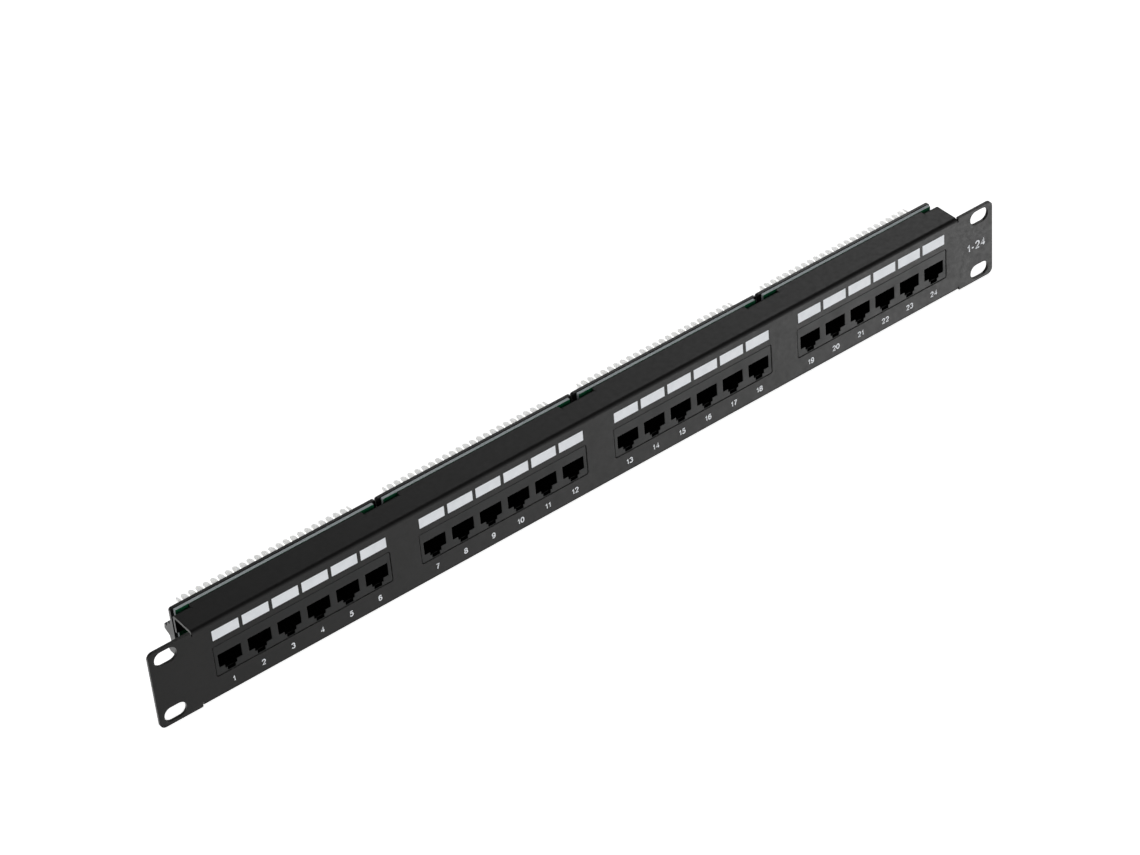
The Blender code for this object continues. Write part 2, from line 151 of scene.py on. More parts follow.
COVER_FRONT = 17.1 * MM
COVER_REAR = 18.9 * MM
COVER_OUTER = 53.5 * MM
COVER_INNER = 54.5 * MM
COVER_HALF_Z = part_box("rear_cover_1")[1].z
COVER_CORNER = 1.2 * MM
WINDOW_HALF = 46.0 * MM
WINDOW_NEAR = 8.4 * MM
WINDOW_FAR = 17.4 * MM
RIDGE_HALF = 53.45 * MM
RIDGE_ROOT = COVER_FRONT + 0.6 * MM
RIDGE_ROUND = 0.25 * MM
SCREW_X = 49.2 * MM
SCREW_Z = 17.2 * MM
SCREW_HOLE = 1.5 * MM
SCREW_SHANK = 1.15 * MM
SCREW_HEAD = 2.3 * MM
SCREW_HEAD_HIGH = 1.5 * MM
SCREW_RIM = 0.5 * MM
SCREW_TIP = 11.2 * MM

# Lengths along the folded sheet
MID_RADIUS = BEND_OUTER - SHEET / 2
BEND_START = HALF_HEIGHT - BEND_OUTER
BEND_LENGTH = MID_RADIUS * pi / 2
FLANGE_START_Y = BEND_OUTER - SHEET
FLANGE_START = BEND_START + BEND_LENGTH
TAB_BEND_START = FLANGE_START + TAB_REAR - BEND_OUTER - FLANGE_START_Y
TAB_START = TAB_BEND_START + BEND_LENGTH
FLANGE_END = FLANGE_START + FLANGE_REAR - FLANGE_START_Y
TAB_END = TAB_START + BEND_START - TAB_TIP_Z
BEND_STEPS = 12

# ---------------------------------------------------------------- printed marks
MARK_HALF = (6.85 * MM, 2.75 * MM)
MARK_SHIFT = 0.25 * MM
MARK_Z = 13.5 * MM
INK = 0.03 * MM
NUMERAL_HIGH = 3.25 * MM
NUMERAL_STROKE = 0.58 * MM
NUMERAL_Z = -15.0 * MM
NUMERAL_SHIFT = {1: 0.45 * MM, 2: 0.20 * MM}
EAR_MARK_X = 230.5 * MM
EAR_MARK_HIGH = 4.7 * MM
EAR_MARK_STROKE = 0.74 * MM


# ---------------------------------------------------------------- camera
# Where the photo was taken from, solved from the rack slots and the rows on the front
CAMERA_PLACE = (-0.738994, -1.060879, 1.045265)
CAMERA_TURN = (51.2870, 4.1300, -37.6527)
CAMERA_LENS = 115.575
CAMERA_SHIFT = (-0.00040, 0.00045)


def add_camera():
    data = bpy.data.cameras.new("camera")
    data.sensor_width = 36.0
    data.lens = CAMERA_LENS
    data.shift_x, data.shift_y = CAMERA_SHIFT
    data.clip_start = 0.05
    data.clip_end = 50.0
    camera = bpy.data.objects.new("camera", data)
    SCENE.collection.objects.link(camera)
    turn = Euler([radians(angle) for angle in CAMERA_TURN])
    camera.matrix_world = Matrix.Translation(CAMERA_PLACE) @ turn.to_matrix().to_4x4()
    SCENE.camera = camera


add_camera()


# ---------------------------------------------------------------- materials
class Nodes:
    """Short calls for building one material's node tree."""

    def __init__(self, name):
        self.material = bpy.data.materials.new(name)
        self.material.use_nodes = True
        self.tree = self.material.node_tree
        self.shader = self.tree.nodes["Principled BSDF"]
        place = self.tree.nodes.new("ShaderNodeTexCoord")
        self.place = place.outputs["Object"]

    def add(self, kind, inputs=None, **settings):
        made = self.tree.nodes.new(kind)
        for key, value in settings.items():
            setattr(made, key, value)
        for key, value in (inputs or {}).items():
            self.feed(made.inputs[key], value)
        return made

    def feed(self, socket, value):
        if isinstance(value, bpy.types.NodeSocket):
            self.tree.links.new(value, socket)
        else:
            socket.default_value = value

    def noise(self, scale, detail=2.0, roughness=0.5, at=None):
        made = self.add("ShaderNodeTexNoise", {
            "Vector": at or self.place, "Scale": scale, "Detail": detail,
            "Roughness": roughness,
        })
        return made.outputs["Fac"]

    def spread(self, value, low, high, start=0.3, end=0.7):
        made = self.add("ShaderNodeMapRange", {
            "Value": value, "From Min": start, "From Max": end,
            "To Min": low, "To Max": high,
        })
        return made.outputs["Result"]

    def blend(self, factor, first, second):
        made = self.add("ShaderNodeMix", data_type="RGBA")
        self.feed(made.inputs[0], factor)
        self.feed(made.inputs[6], first)
        self.feed(made.inputs[7], second)
        return made.outputs[2]

    def maths(self, operation, first, second=0.0, third=0.0):
        made = self.add("ShaderNodeMath", operation=operation)
        for socket, value in zip(made.inputs, (first, second, third)):
            self.feed(socket, value)
        return made.outputs["Value"]

    def bump(self, height, strength, distance, under=None):
        inputs = {"Height": height, "Strength": strength, "Distance": distance}
        if under is not None:
            inputs["Normal"] = under
        return self.add("ShaderNodeBump", inputs).outputs["Normal"]

    def rim(self):
        made = self.add("ShaderNodeAttribute", attribute_name="rim")
        return made.outputs["Fac"]

    def depth(self):
        """How far to the rear of the mounting plane."""
        return self.add("ShaderNodeSeparateXYZ", {"Vector": self.place}).outputs["Y"]

    def set(self, **values):
        for key, value in values.items():
            self.feed(self.shader.inputs[key.replace("_", " ")], value)
        return self.material


def rgb(red, green, blue):
    return (red, green, blue, 1.0)


def powder_coat():
    """Fine-textured black powder coat, paler along the sheet's cut edges: thinner coat there, with a
    painted highlight on the edges.
    """
    n = Nodes("powder_coat")
    cloud = n.noise(60.0, 3.0)
    grain = n.noise(1500.0, 3.0, 0.6)
    peel = n.noise(420.0, 2.0)
    fleck = n.noise(3200.0, 1.0)
    dark = n.blend(n.spread(cloud, 0.0, 1.0), rgb(0.0052, 0.0051, 0.0050), rgb(0.0066, 0.0064, 0.0062))
    mottled = n.blend(n.spread(grain, 0.0, 0.55), dark, rgb(0.0100, 0.0096, 0.0092))
    flecked = n.blend(n.spread(fleck, 0.0, 0.30, 0.66, 0.78), mottled, rgb(0.032, 0.031, 0.030))
    # Paler cut edges: partly a thinner coat, partly a painted highlight
    pale_edge = n.maths("MULTIPLY", n.rim(), n.spread(n.noise(900.0, 3.0), 0.15, 0.75, 0.35, 0.65))
    colour = n.blend(pale_edge, flecked, rgb(0.055, 0.054, 0.052))
    roughness = n.maths("ADD", n.spread(peel, 0.38, 0.46), n.spread(grain, -0.04, 0.04))
    waves = n.bump(peel, 0.25, 0.00006)
    return n.set(
        Base_Color=colour, Roughness=roughness, Specular_IOR_Level=0.22,
        Normal=n.bump(grain, 0.35, 0.00004, waves),
    )


def moulded_plastic(name, dark, pale, pale_edge, rough, gloss, face=None):
    """Black moulded plastic, spark-eroded, rubbed at its edges; behind its face a painted shade, near
    black and matte.
    """
    n = Nodes(name)
    grain = n.noise(2600.0, 2.0, 0.6)
    cloud = n.noise(120.0, 3.0)
    colour = n.blend(n.spread(cloud, 0.0, 1.0), rgb(*dark), rgb(*pale))
    rubbed = n.maths("MULTIPLY", n.rim(), n.spread(n.noise(700.0, 2.0), 0.1, 0.6))
    colour = n.blend(rubbed, colour, rgb(*pale_edge))
    roughness = n.maths("ADD", n.spread(cloud, rough - 0.04, rough + 0.04),
                        n.spread(grain, -0.04, 0.04))
    # Painted shade: deeper than the face the colour goes near black and the gloss goes off, for the
    # shade inside the sockets
    if face is not None:
        depth = n.depth()
        start, end = face + 0.15 * MM, face + 0.40 * MM
        colour = n.blend(n.spread(depth, 0.0, 1.0, start, end), colour, rgb(0.0008, 0.0008, 0.0008))
        gloss = n.spread(depth, gloss, 0.03, start, end)
    flow = n.bump(n.noise(260.0, 2.0), 0.12, 0.00005)
    return n.set(
        Base_Color=colour, Roughness=roughness, Specular_IOR_Level=gloss,
        Normal=n.bump(grain, 0.25, 0.00002, flow),
    )


def solder_mask():
    """Green solder mask with buried copper tracks."""
    n = Nodes("solder_mask")
    tracks = n.add("ShaderNodeTexBrick", {
        "Vector": n.place, "Scale": 260.0, "Mortar Size": 0.22, "Mortar Smooth": 0.2,
        "Brick Width": 1.9, "Row Height": 0.55,
    })
    copper = tracks.outputs["Fac"]
    cloud = n.noise(300.0, 3.0)
    base = n.blend(n.spread(cloud, 0.0, 1.0), rgb(0.004, 0.075, 0.032), rgb(0.006, 0.105, 0.046))
    colour = n.blend(n.maths("MULTIPLY", copper, 0.6), base, rgb(0.012, 0.17, 0.070))
    return n.set(
        Base_Color=colour, Roughness=n.spread(cloud, 0.26, 0.38),
        Normal=n.bump(copper, 0.3, 0.00003),
    )


def laminate_edge():
    """Routed glass-laminate edge: pale grey-green, streaked along its plies."""
    n = Nodes("laminate_edge")
    stretched = n.add("ShaderNodeMapping", {"Vector": n.place, "Scale": (120.0, 5200.0, 120.0)})
    plies = n.noise(1.0, 3.0, at=stretched.outputs["Vector"])
    dust = n.noise(2400.0, 2.0)
    colour = n.blend(n.spread(plies, 0.0, 1.0), rgb(0.56, 0.63, 0.65), rgb(0.74, 0.80, 0.82))
    colour = n.blend(n.spread(dust, 0.0, 0.3, 0.5, 0.75), colour, rgb(0.82, 0.86, 0.87))
    return n.set(
        Base_Color=colour, Roughness=n.spread(dust, 0.6, 0.8), Normal=n.bump(dust, 0.4, 0.00003),
    )


# Strength of the painted glow in the strip's teeth
TEETH_PAINTED_GLOW = 0.42


def natural_plastic():
    """Milky strip plastic, with a painted glow in its teeth."""
    n = Nodes("natural_plastic")
    cloud = n.noise(500.0, 3.0)
    grain = n.noise(2800.0, 1.0)
    colour = n.blend(n.spread(cloud, 0.0, 1.0), rgb(0.90, 0.91, 0.90), rgb(0.94, 0.94, 0.93))
    edge = n.maths("MULTIPLY", n.rim(), 0.5)
    # Painted glow: the teeth emit light, standing in for the white behind the panel shining through them
    painted_glow = n.spread(n.depth(), 0.0, TEETH_PAINTED_GLOW, SLIT_FLOOR, TOOTH_SHOULDER)
    colour = n.blend(edge, colour, rgb(0.95, 0.95, 0.94))
    return n.set(
        Base_Color=colour, Roughness=n.spread(cloud, 0.32, 0.44),
        Subsurface_Weight=0.15, Subsurface_Radius=(0.0012, 0.0012, 0.0011),
        Subsurface_Scale=1.0, Emission_Color=colour, Emission_Strength=painted_glow,
        Normal=n.bump(grain, 0.15, 0.00002),
    )


def metal(name, dark, pale, rough, streak):
    """Plated metal with fine drawn streaks."""
    n = Nodes(name)
    stretched = n.add("ShaderNodeMapping", {"Vector": n.place, "Scale": streak})
    lines = n.noise(1.0, 4.0, 0.6, at=stretched.outputs["Vector"])
    spots = n.noise(900.0, 3.0)
    colour = n.blend(n.spread(spots, 0.0, 1.0), rgb(*dark), rgb(*pale))
    return n.set(
        Base_Color=colour, Metallic=1.0, Roughness=n.spread(lines, rough - 0.07, rough + 0.09),
        Normal=n.bump(lines, 0.2, 0.00002),
    )


def white_ink():
    """Screen-printed white, following the coat under it."""
    n = Nodes("white_ink")
    grain = n.noise(1500.0, 3.0, 0.6)
    cloud = n.noise(240.0, 3.0)
    colour = n.blend(n.spread(cloud, 0.0, 1.0), rgb(0.785, 0.81, 0.84), rgb(0.85, 0.87, 0.90))
    return n.set(
        Base_Color=colour, Roughness=n.spread(grain, 0.5, 0.62), Specular_IOR_Level=0.2,
        Normal=n.bump(grain, 0.3, 0.00003),
    )


COAT = powder_coat()
# Housing black, with painted shade behind its face
HOUSING_BLACK_AND_SHADE = moulded_plastic(
    "housing_black_and_shade", (0.0060, 0.0066, 0.0065), (0.0080, 0.0086, 0.0084), (0.020, 0.022, 0.022),
    0.44, 0.24, HOUSING[0][1],
)
COVER_BLACK = moulded_plastic(
    "cover_black", (0.0055, 0.0055, 0.0057), (0.0080, 0.0080, 0.0083), (0.028, 0.028, 0.029),
    0.38, 0.30,
)
# Painted shade: black plastic made near black and matte for the contact carrier deep inside each socket
CARRIER_SHADE = moulded_plastic(
    "carrier_painted_shade", (0.0008, 0.0008, 0.0008), (0.0014, 0.0014, 0.0014), (0.003, 0.003, 0.003),
    0.5, 0.03,
)
# Painted shade: the housing plastic made near black and matte for the housing body, socket walls and
# rails deep inside
TUNNEL_SHADE = moulded_plastic(
    "tunnel_painted_shade", (0.0006, 0.0006, 0.0006), (0.0010, 0.0010, 0.0010), (0.002, 0.002, 0.002),
    0.5, 0.02,
)
MASK_GREEN = solder_mask()
LAMINATE = laminate_edge()
NATURAL = natural_plastic()
GOLD = metal("gold_plate", (0.36, 0.24, 0.09), (0.44, 0.30, 0.12), 0.30, (4000.0, 200.0, 4000.0))
TIN = metal("tinned_blade", (0.62, 0.62, 0.60), (0.74, 0.74, 0.72), 0.30, (3000.0, 3000.0, 200.0))
ZINC = metal("zinc_plate", (0.55, 0.55, 0.52), (0.68, 0.67, 0.63), 0.32, (600.0, 600.0, 600.0))
INK_WHITE = white_ink()


# ---------------------------------------------------------------- mesh helpers
def arc(cx, cy, radius, start, end, steps):
    """Points on an arc, angles in degrees."""
    turn = [radians(start + (end - start) * k / steps) for k in range(steps + 1)]
    return [(cx + radius * cos(a), cy + radius * sin(a)) for a in turn]


def circle(cx, cz, radius, steps=32):
    return arc(cx, cz, radius, 0, 360 * (steps - 1) / steps, steps - 1)


def rounded_rectangle(x0, x1, z0, z1, radius, steps=8):
    outline = arc(x1 - radius, z1 - radius, radius, 0, 90, steps)
    outline += arc(x0 + radius, z1 - radius, radius, 90, 180, steps)
    outline += arc(x0 + radius, z0 + radius, radius, 180, 270, steps)
    outline += arc(x1 - radius, z0 + radius, radius, 270, 360, steps)
    return outline


def eased(points, radius, steps=3):
    """The closed outline with each corner rounded to about that radius."""
    out = []
    for k, here in enumerate(points):
        corner = Vector(here)
        back = Vector(points[k - 1]) - corner
        ahead = Vector(points[(k + 1) % len(points)]) - corner
        reach = min(radius, 0.45 * back.length, 0.45 * ahead.length)
        first, last = corner + back.normalized() * reach, corner + ahead.normalized() * reach
        for j in range(steps + 1):
            t = j / steps
            out.append(tuple(first * (1 - t) ** 2 + corner * 2 * t * (1 - t) + last * t * t))
    return out


def weld(mesh, distance=1e-6):
    work = bmesh.new()
    work.from_mesh(mesh)
    bmesh.ops.remove_doubles(work, verts=work.verts, dist=distance)
    bmesh.ops.recalc_face_normals(work, faces=work.faces)
    work.to_mesh(mesh)
    work.free()


def mark_rim(mesh, half):
    """Vertices between the two broad faces get rim 1: they are the piece's edges."""
    rim = mesh.attributes.new("rim", "FLOAT", "POINT")
    for k, vert in enumerate(mesh.vertices):
        rim.data[k].value = 1.0 if abs(vert.co.z) < half - 1e-7 else 0.0


def from_curve(curve):
    """The mesh that a curve stands for, welded."""
    carrier = bpy.data.objects.new(curve.name, curve)
    SCENE.collection.objects.link(carrier)
    depsgraph = bpy.context.evaluated_depsgraph_get()
    mesh = bpy.data.meshes.new_from_object(carrier.evaluated_get(depsgraph))
    bpy.data.objects.remove(carrier)
    weld(mesh)
    return mesh


def draw(curve, points):
    """Add one straight-sided line of points to a curve."""
    spline = curve.splines.new("POLY")
    spline.points.add(len(points) - 1)
    for point, place_on_line in zip(spline.points, points):
        point.co = (*place_on_line, 1.0)
    return spline


def rod(name, radius, resolution):
    """An empty curve whose lines come out round, with closed ends."""
    curve = bpy.data.curves.new(name, "CURVE")
    curve.dimensions = "3D"
    curve.bevel_depth = radius
    curve.bevel_resolution = resolution
    curve.use_fill_caps = True
    return curve


def slab(loops, thickness, bevel=0.0, bevel_steps=2):
    """Fill closed outlines, the first outside and the rest holes, with rounded edges."""
    curve = bpy.data.curves.new("outline", "CURVE")
    curve.dimensions = "2D"
    curve.fill_mode = "BOTH"
    curve.extrude = thickness / 2 - bevel
    curve.bevel_depth = bevel
    curve.bevel_resolution = bevel_steps
    curve.offset = -bevel
    for loop in loops:
        draw(curve, [(u, v, 0.0) for u, v in loop]).use_cyclic_u = True
    mesh = from_curve(curve)
    mark_rim(mesh, thickness / 2)
    return mesh


STAND_UP = Matrix.Rotation(radians(90), 4, "X")
SECTION = Matrix(((0, 0, 1, 0), (1, 0, 0, 0), (0, 1, 0, 0), (0, 0, 0, 1)))


def upright(loops, front, rear, bevel=0.0, bevel_steps=2):
    """A slab drawn in (x, z) that stands from y = front to y = rear."""
    mesh = slab(loops, rear - front, bevel, bevel_steps)
    mesh.transform(Matrix.Translation((0, (front + rear) / 2, 0)) @ STAND_UP)
    return mesh


def section(outline, x0, x1, bevel=0.0, bevel_steps=2):
    """A slab drawn in (y, z) that runs from x0 to x1."""
    mesh = slab([outline], x1 - x0, bevel, bevel_steps)
    mesh.transform(Matrix.Translation(((x0 + x1) / 2, 0, 0)) @ SECTION)
    return mesh


def level(outline, low, high, bevel=0.0, bevel_steps=2):
    """A slab drawn in (x, y) that lies from z = low to z = high."""
    mesh = slab([outline], high - low, bevel, bevel_steps)
    mesh.transform(Matrix.Translation((0, 0, (low + high) / 2)))
    return mesh


def brick(low, high, bevel=0.0):
    """A block with rounded edges between two corners."""
    outline = [(low[0], low[2]), (high[0], low[2]), (high[0], high[2]), (low[0], high[2])]
    return upright([eased(outline, bevel)] if bevel else [outline], low[1], high[1], bevel)


def joined(parts):
    """One mesh from (mesh, material, matrix) rows."""
    looks = []
    work = bmesh.new()
    work.verts.layers.float.new("rim")
    for mesh, look, matrix in parts:
        if look not in looks:
            looks.append(look)
        copy = mesh.copy()
        copy.transform(matrix)
        first_vert, first_face = len(work.verts), len(work.faces)
        values = [item.value for item in mesh.attributes["rim"].data]
        work.from_mesh(copy)
        work.verts.ensure_lookup_table()
        work.faces.ensure_lookup_table()
        rim = work.verts.layers.float["rim"]
        for k, value in enumerate(values):
            work.verts[first_vert + k][rim] = value
        for face in work.faces[first_face:]:
            face.material_index = looks.index(look)
        bpy.data.meshes.remove(copy)
    made = bpy.data.meshes.new("joined")
    work.to_mesh(made)
    work.free()
    for look in looks:
        made.materials.append(look)
    return made


HERE = Matrix.Identity(4)


def shift(x, y=0.0, z=0.0):
    return Matrix.Translation((x, y, z))


def place(name, mesh, nodes=(), slot=None, x=0.0, look=None, smooth=True):
    """Put a mesh in the scene as a named piece that rides on the one body."""
    if look:
        mesh.materials.clear()
        mesh.materials.append(look)
    if smooth:
        mesh.shade_smooth()
    else:
        mesh.shade_flat()
    piece = bpy.data.objects.new(name, mesh)
    SCENE.collection.objects.link(piece)
    piece.location.x = x
    if smooth:
        weighted = piece.modifiers.new("weighted", "WEIGHTED_NORMAL")
        weighted.weight = 100
        weighted.keep_sharp = False
    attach(piece, "root")
    if nodes:
        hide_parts(*nodes)
    return piece


# ---------------------------------------------------------------- folded front sheet
TAB_SPANS = [(-FLANGE_HALF, -END_TAB_X), (END_TAB_X, FLANGE_HALF)]
TAB_SPANS += [(k * MODULE_PITCH - TAB_HALF, k * MODULE_PITCH + TAB_HALF) for k in (-1, 0, 1)]
TAB_SPANS.sort()


def on_tab(x):
    return any(a - RIP / 4 <= x <= b + RIP / 4 for a, b in TAB_SPANS)


def blank_edge():
    """Upper edge of the flat blank from left to right, ears included."""
    ear_x = FLANGE_HALF + RELIEF
    corner = HALF_WIDTH - EAR_CORNER
    root = BEND_START - RELIEF / 2
    edge = arc(-corner, HALF_HEIGHT - EAR_CORNER, EAR_CORNER, 180, 90, 10)
    edge += arc(-ear_x - NOTCH_ROUND, HALF_HEIGHT - NOTCH_ROUND, NOTCH_ROUND, 90, 0, 4)
    edge += arc(-ear_x + RELIEF / 2, root + RELIEF / 2, RELIEF / 2, 180, 360, 8)
    notch = TAB_BEND_START - RIP
    nose = FLANGE_ROUND
    for k, (a, b) in enumerate(TAB_SPANS):
        if k:
            edge += arc(a - RIP - nose, FLANGE_END - nose, nose, 90, 0, 6)
            edge += [(a - RIP, notch), (a, notch)]
        edge += [(a, TAB_END), (b, TAB_END)]
        if k < len(TAB_SPANS) - 1:
            edge += [(b, notch), (b + RIP, notch)]
            edge += arc(b + RIP + nose, FLANGE_END - nose, nose, 180, 90, 6)
    edge += arc(ear_x - RELIEF / 2, root + RELIEF / 2, RELIEF / 2, 180, 360, 8)
    edge += arc(ear_x + NOTCH_ROUND, HALF_HEIGHT - NOTCH_ROUND, NOTCH_ROUND, 180, 90, 4)
    edge += arc(corner, HALF_HEIGHT - EAR_CORNER, EAR_CORNER, 90, 0, 10)
    return edge


def folded(point):
    """Move a point of the flat blank to its place on the folded sheet."""
    side = 1.0 if point.z >= 0 else -1.0
    run = abs(point.z)
    depth = point.y + SHEET / 2
    if run <= FLANGE_START:
        turn = (run - BEND_START) / MID_RADIUS
        radius = MID_RADIUS - depth
        y = MID_RADIUS - SHEET / 2 - radius * cos(turn)
        return Vector((point.x, y, side * (BEND_START + radius * sin(turn))))
    y = FLANGE_START_Y + run - FLANGE_START
    return Vector((point.x, y, side * (HALF_HEIGHT - SHEET / 2 - depth)))


def folded_tab(point):
    """Place a blank point that belongs to a mounting tab beyond its own bend."""
    side = 1.0 if point.z >= 0 else -1.0
    run = abs(point.z)
    depth = point.y + SHEET / 2
    radius = MID_RADIUS - depth
    if run <= TAB_START:
        turn = (run - TAB_BEND_START) / MID_RADIUS
        y = TAB_REAR - BEND_OUTER + radius * sin(turn)
        return Vector((point.x, y, side * (BEND_START + radius * cos(turn))))
    y = TAB_REAR - SHEET / 2 - depth
    return Vector((point.x, y, side * (BEND_START - (run - TAB_START))))


def screw_places():
    """(x, z) of the two screws of each module, on opposite corners."""
    places = []
    for centre in MODULE_X:
        places += [(centre - SCREW_X, SCREW_Z), (centre + SCREW_X, -SCREW_Z)]
    return places


def make_sheet():
    upper = blank_edge()
    lower = [(x, -z) for x, z in reversed(upper)]
    loops = [upper + lower]
    for sx in (-1, 1):
        for sz in (-1, 1):
            x, z = sx * SLOT_X, sz * SLOT_Z
            w, h = SLOT_HALF
            loops.append(rounded_rectangle(x - w, x + w, z - h, z + h, SLOT_CORNER))
    for centre in HOUSING_X:
        half = FACE_HALF + CLEAR
        low, high = FACE_LOW - CLEAR, FACE_HIGH + CLEAR
        loops.append(rounded_rectangle(centre - half, centre + half, low, high, WINDOW_ROUND, 5))
    for x, z in screw_places():
        run = TAB_START + BEND_START - abs(z)
        loops.append(circle(x, run if z > 0 else -run, SCREW_HOLE))
    mesh = upright(loops, -SHEET, 0.0, SHEET_ROUND)
    work = bmesh.new()
    work.from_mesh(mesh)
    runs = [BEND_START + BEND_LENGTH * k / BEND_STEPS for k in range(BEND_STEPS + 1)]
    runs += [TAB_BEND_START + BEND_LENGTH * k / BEND_STEPS for k in range(BEND_STEPS + 1)]
    for run in runs:
        for side in (-1, 1):
            everything = work.verts[:] + work.edges[:] + work.faces[:]
            bmesh.ops.bisect_plane(
                work, geom=everything, dist=1e-7,
                plane_co=(0, 0, side * run), plane_no=(0, 0, 1),
            )
    for vert in work.verts:
        run = abs(vert.co.z)
        if run > TAB_BEND_START and on_tab(vert.co.x):
            vert.co = folded_tab(vert.co)
        elif run > BEND_START and abs(vert.co.x) < FLANGE_HALF + RELIEF / 2:
            vert.co = folded(vert.co)
    bmesh.ops.recalc_face_normals(work, faces=work.faces)
    work.to_mesh(mesh)
    work.free()
    return mesh


# ---------------------------------------------------------------- socket housings
def socket_outline(x, grow=0.0):
    corners = [
        (-MOUTH_HALF, MOUTH_HIGH), (-MOUTH_HALF, MOUTH_LOW), (-STEP_HALF, MOUTH_LOW),
        (-STEP_HALF, STEP_LOW), (-LATCH_HALF, STEP_LOW), (-LATCH_HALF, LATCH_LOW),
        (LATCH_HALF, LATCH_LOW), (LATCH_HALF, STEP_LOW), (STEP_HALF, STEP_LOW),
        (STEP_HALF, MOUTH_LOW), (MOUTH_HALF, MOUTH_LOW), (MOUTH_HALF, MOUTH_HIGH),
    ]
    outline = []
    for u, v in corners:
        outline.append((x + u + (grow if u > 0 else -grow), v + (grow if v > 0 else -grow)))
    return eased(outline, MOUTH_ROUND)


def make_housing():
    (low_x, front, low_z), (high_x, rear, high_z) = HOUSING
    face = rounded_rectangle(-FACE_HALF, FACE_HALF, FACE_LOW, FACE_HIGH, 0.8 * MM, 5)
    body = rounded_rectangle(low_x, high_x, low_z, high_z, 0.5 * MM, 4)
    plate = upright([face] + [socket_outline(x) for x in PORT_X], front, FACE_SKIN, EDGE_ROUND)
    tunnel = [socket_outline(x, TUNNEL_EXTRA) for x in PORT_X]
    block = upright([body] + tunnel, CLEAR, rear, FINE_ROUND, 1)
    rows = [(plate, HOUSING_BLACK_AND_SHADE, HERE), (block, TUNNEL_SHADE, HERE)]
    catch = brick(
        (-LATCH_HALF - 0.2 * MM, front + 0.9 * MM, STEP_LOW - 0.85 * MM),
        (LATCH_HALF + 0.2 * MM, front + 2.0 * MM, STEP_LOW - 0.35 * MM), SMALL_ROUND,
    )
    rail = brick(
        (-0.25 * MM, 1.6 * MM, MOUTH_LOW - 0.1 * MM), (0.25 * MM, 11.0 * MM, MOUTH_LOW + 0.35 * MM),
        SMALL_ROUND,
    )
    for x in PORT_X:
        rows.append((catch, HOUSING_BLACK_AND_SHADE, shift(x)))
        for side in (-1, 1):
            rows.append((rail, TUNNEL_SHADE, shift(x + side * RAIL_X)))
    return joined(rows)


# ---------------------------------------------------------------- spring contacts
def tube(points, radius):
    """A round wire along points in the (y, z) plane."""
    curve = rod("wire", radius, 2)
    draw(curve, [(0.0, y, z) for y, z in points])
    mesh = from_curve(curve)
    mesh.attributes.new("rim", "FLOAT", "POINT")
    return mesh


def make_contacts():
    slope = [(y * MM, MOUTH_HIGH - drop * MM) for y, drop in (
        (12.8, 2.50), (11.2, 2.37), (9.5, 2.05), (7.5, 1.53), (5.8, 1.03), (4.9, 0.77),
        (4.5, 0.68), (4.25, 0.77), (4.2, 1.03),
    )]
    wire = tube(slope, WIRE_RADIUS)
    low = (-MOUTH_HALF + CLEAR, CARRIER_FRONT, MOUTH_LOW + CLEAR)
    high = (MOUTH_HALF - CLEAR, CARRIER_REAR, MOUTH_HIGH - CLEAR)
    rows = [(brick(low, high, EDGE_ROUND), CARRIER_SHADE, HERE)]
    fin = brick((-FIN_HALF, FIN_FRONT, MOUTH_HIGH - 3.05 * MM),
                (FIN_HALF, CARRIER_FRONT + 0.4 * MM, MOUTH_HIGH - 0.95 * MM), FINE_ROUND)
    for k in range(WIRE_COUNT + 1):
        rows.append((fin, CARRIER_SHADE, shift((k - WIRE_COUNT / 2) * WIRE_PITCH)))
    for k in range(WIRE_COUNT):
        rows.append((wire, GOLD, shift((k - (WIRE_COUNT - 1) / 2) * WIRE_PITCH)))
    return joined(rows)


# ---------------------------------------------------------------- circuit board
def make_board():
    outline = rounded_rectangle(-BOARD_HALF, BOARD_HALF, -BOARD_HALF_Z, BOARD_HALF_Z, 0.3 * MM, 3)
    loops = [outline, circle(-SCREW_X, SCREW_Z, SCREW_HOLE), circle(SCREW_X, -SCREW_Z, SCREW_HOLE)]
    mesh = upright(loops, BOARD_FRONT, BOARD_REAR, FINE_ROUND, 1)
    mesh.materials.append(MASK_GREEN)
    mesh.materials.append(LAMINATE)
    for face in mesh.polygons:
        face.material_index = 0 if abs(face.normal.y) > 0.9 else 1
    pad = upright([circle(0, 0, PAD_RADIUS, 16), circle(0, 0, PAD_HOLE, 12)],
                  BOARD_FRONT - 0.04 * MM, BOARD_FRONT + 0.01 * MM)
    rows = []
    for side in (-1, 1):
        for k in range(SLIT_COUNT):
            x = (k - (SLIT_COUNT - 1) / 2) * SLIT_PITCH
            rows.append((pad, TIN, shift(x, 0, side * (STRIP_LOW + STRIP_HIGH) / 2)))
        for z in END_PAD_Z:
            rows.append((pad, TIN, shift(side * END_PAD_X, 0, side * z)))
    pads = joined(rows)
    return mesh, pads


# ---------------------------------------------------------------- termination strips
def tooth(left, right, steps=12):
    """Rounded tip of one tooth, drawn from its right side to its left side."""
    middle, half = (left + right) / 2, (right - left) / 2
    turn = [pi * k / steps for k in range(steps + 1)]
    rise = STRIP_REAR - TOOTH_SHOULDER
    return [(middle + half * cos(a), TOOTH_SHOULDER + rise * sin(a)) for a in turn]


